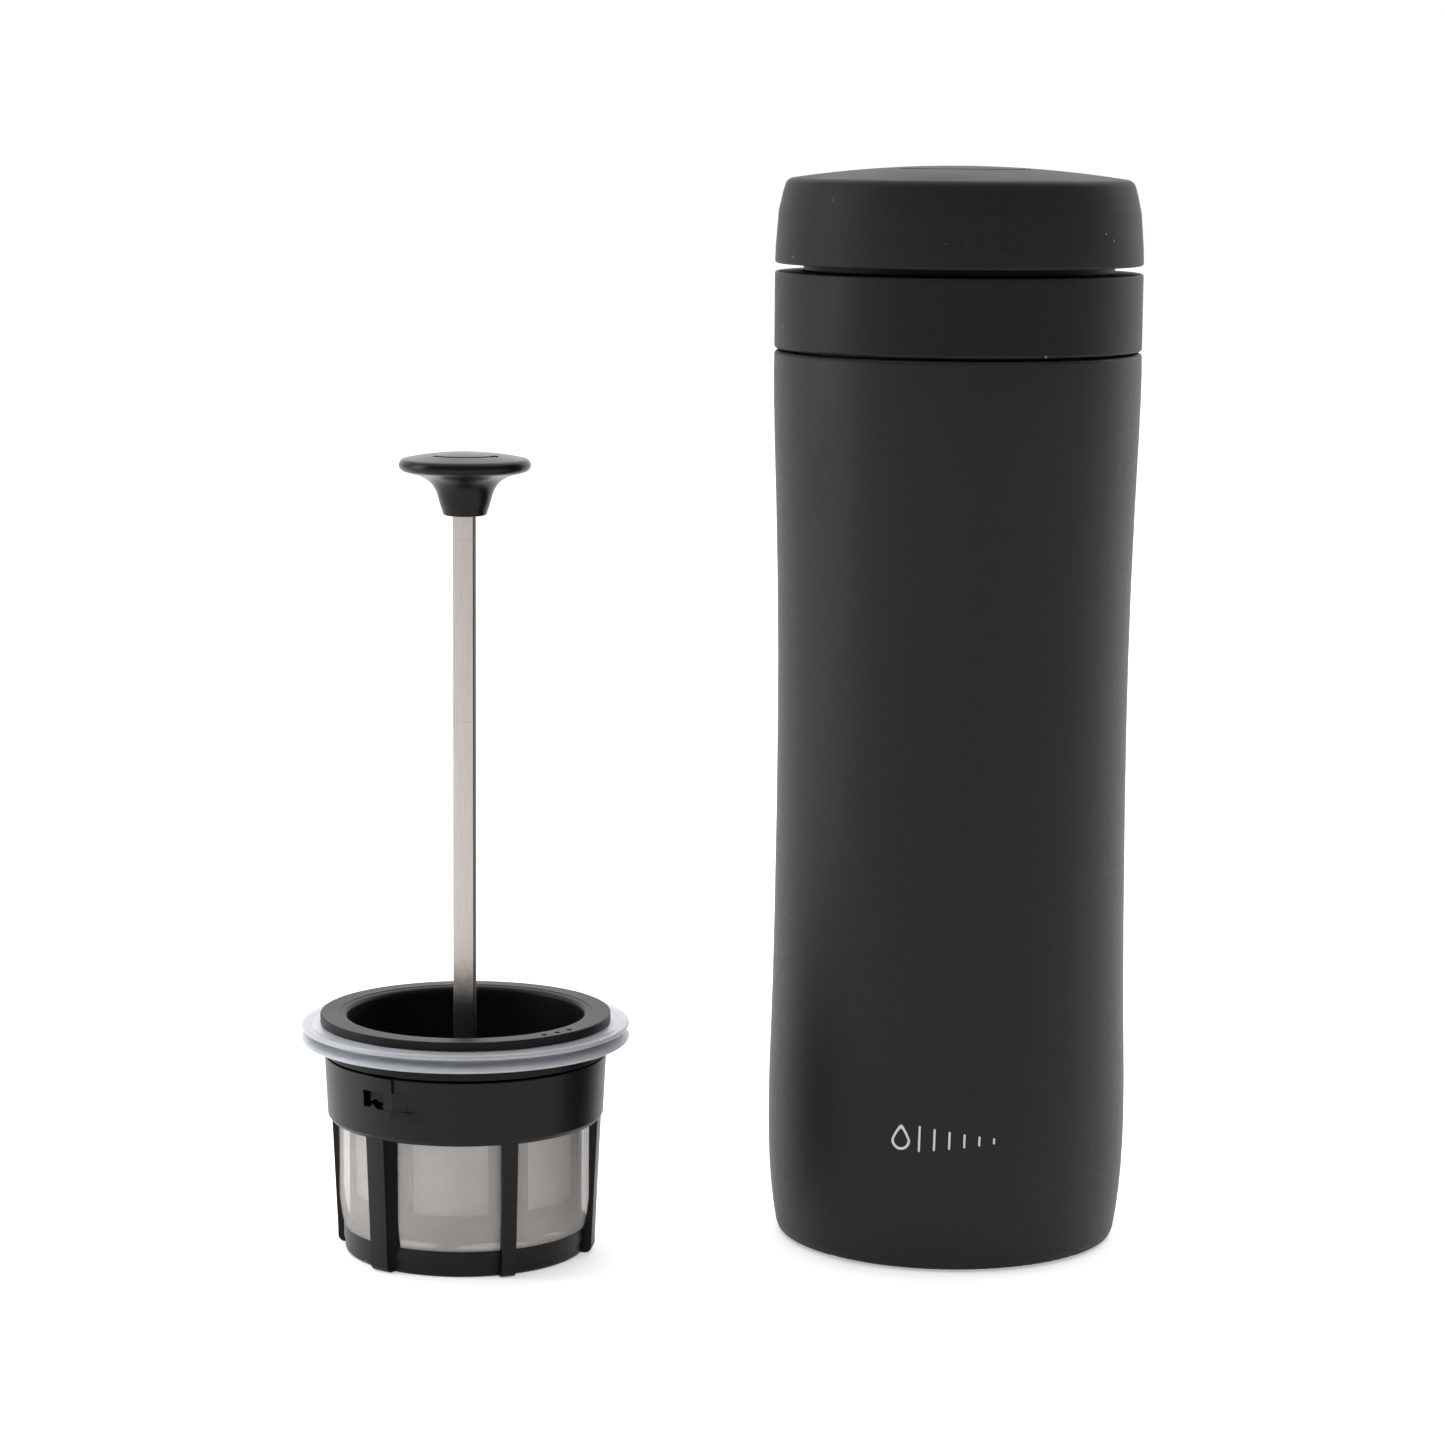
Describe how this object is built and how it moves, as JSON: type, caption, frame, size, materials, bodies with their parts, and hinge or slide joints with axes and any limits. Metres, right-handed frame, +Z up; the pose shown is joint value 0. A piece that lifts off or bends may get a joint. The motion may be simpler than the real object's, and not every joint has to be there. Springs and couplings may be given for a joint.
{
  "type": "french press",
  "caption": "Insulated travel french press: screw-capped bottle with a drinking collar, and beside it the double mesh filter on its rod and knob.",
  "frame": {"origin": "centre of the bottle's base, on the surface that it stands on", "axes": "+Z up along the bottle's axis; -Y is the front; the filter stands beside the bottle on the -X side"},
  "size_m": [0.1661, 0.0855, 0.2158],
  "materials": {
    "powder_coat": "matte fine powder coat",
    "bare_steel": "turned, satin",
    "moulded_black": "fine matte moulding texture",
    "satin_steel": "satin, lengthwise grain",
    "woven_steel": "fine plain weave",
    "clear_silicone": "translucent, soft sheen",
    "dark_silicone": "matte",
    "dark_rubber": "matte, fine grain",
    "brass": "knurled",
    "getter_metal": "sintered",
    "sealing_glass": "fused bead"
  },
  "bodies": {
    "bottle": {"outer_shell": "powder_coat", "inner_shell": "bare_steel", "base_plate": "bare_steel", "vacuum_plug": "sealing_glass", "getter": "getter_metal", "base_pad": "dark_rubber"},
    "collar_gasket": {"collar_seal": "dark_silicone"},
    "collar_ring": {"collar": "moulded_black"},
    "cap_gasket": {"cap_seal": "dark_silicone"},
    "cap": {"cap_shell": "moulded_black", "cap_liner": "moulded_black"},
    "outer_filter": {"outer_filter_frame": "moulded_black", "outer_filter_mesh": "woven_steel", "outer_bottom_mesh": "woven_steel"},
    "lip_gasket": {"lip_seal": "clear_silicone"},
    "inner_filter": {"inner_filter_frame": "moulded_black", "inner_filter_mesh": "woven_steel", "inner_bottom_mesh": "woven_steel", "top_ring": "moulded_black", "plunger_rod": "satin_steel", "rod_washer": "satin_steel", "rod_nut": "satin_steel", "knob": "moulded_black", "knob_insert": "brass"}
  },
  "joints": [
    {"name": "collar_lift", "type": "slide", "parent": "bottle", "child": "collar_gasket", "axis": [0, 0, 1], "range_m": [0, 0.018]},
    {"name": "collar_turn", "type": "hinge", "parent": "collar_gasket", "child": "collar_ring", "pos_m": [0, 0, 0.1873], "axis": [0, 0, 1], "range_deg": [0, 720]},
    {"name": "cap_lift", "type": "slide", "parent": "collar_ring", "child": "cap_gasket", "axis": [0, 0, 1], "range_m": [0, 0.018]},
    {"name": "cap_turn", "type": "hinge", "parent": "cap_gasket", "child": "cap", "pos_m": [0, 0, 0.2062], "axis": [0, 0, 1], "range_deg": [0, 720]},
    {"name": "press_lift", "type": "slide", "parent": "bottle", "child": "outer_filter", "axis": [0, 0, 1], "range_m": [0, 0.2]},
    {"name": "filter_lift", "type": "slide", "parent": "outer_filter", "child": "lip_gasket", "axis": [0, 0, 1], "range_m": [0, 0.06]},
    {"name": "filter_twist", "type": "hinge", "parent": "lip_gasket", "child": "inner_filter", "pos_m": [-0.097, -0.0164, 0.0355], "axis": [0, 0, 1], "range_deg": [-10, 0]}
  ],
  "couplings": [
    {"joint": "collar_lift", "follows": "collar_turn", "m_per_rad": 0.0014324},
    {"joint": "cap_lift", "follows": "cap_turn", "m_per_rad": 0.0014324}
  ]
}
